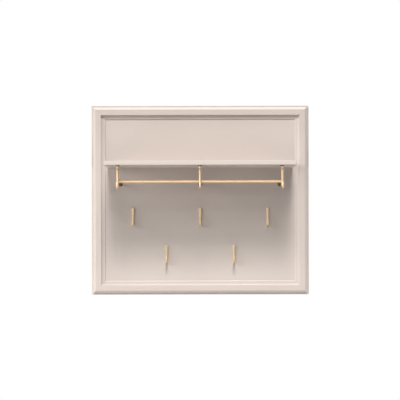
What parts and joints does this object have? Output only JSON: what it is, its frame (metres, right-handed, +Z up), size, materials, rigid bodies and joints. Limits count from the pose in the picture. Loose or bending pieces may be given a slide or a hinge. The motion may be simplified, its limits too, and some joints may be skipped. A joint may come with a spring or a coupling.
{
  "type": "wall shelf with hooks",
  "caption": "Painted wall shelf: a board framed by a mitred moulding, one deep shelf, a hanging rail on hooked brackets below it, and coat hooks on the board.",
  "frame": {"origin": "centre of the board's back face, which lies against the wall", "axes": "+X to the right as seen from the front, +Y into the wall, +Z up"},
  "size_m": [1, 0.236, 0.87],
  "materials": {
    "painted_board": "satin paint over fibreboard",
    "satin_brass": "pale satin brass",
    "zinc_steel": "zinc plated",
    "dowel_wood": "plain beech"
  },
  "bodies": {
    "root": {"back_panel": "painted_board", "moulding_top": "painted_board", "moulding_bottom": "painted_board", "moulding_left": "painted_board", "moulding_right": "painted_board", "shelf_board": "painted_board", "bracket_flange_left": "satin_brass", "bracket_flange_middle": "satin_brass", "bracket_flange_right": "satin_brass", "bracket_stem_left": "satin_brass", "bracket_stem_middle": "satin_brass", "bracket_stem_right": "satin_brass", "bracket_arm_left": "satin_brass", "bracket_arm_middle": "satin_brass", "bracket_arm_right": "satin_brass", "wall_rosette_left": "satin_brass", "wall_rosette_middle": "satin_brass", "wall_rosette_right": "satin_brass", "hanging_rail": "satin_brass", "rail_cap_left": "satin_brass", "rail_cap_right": "satin_brass", "hook_upper_left": "satin_brass", "hook_upper_middle": "satin_brass", "hook_upper_right": "satin_brass", "hook_lower_left": "satin_brass", "hook_lower_right": "satin_brass", "hanger_plate_left": "zinc_steel", "hanger_plate_right": "zinc_steel", "shelf_screws": "zinc_steel", "hanger_plate_screws": "zinc_steel", "hook_screws": "zinc_steel", "arm_screws": "zinc_steel", "bracket_studs": "zinc_steel", "rail_grub_screws": "zinc_steel", "shelf_dowels": "dowel_wood"}
  },
  "joints": []
}
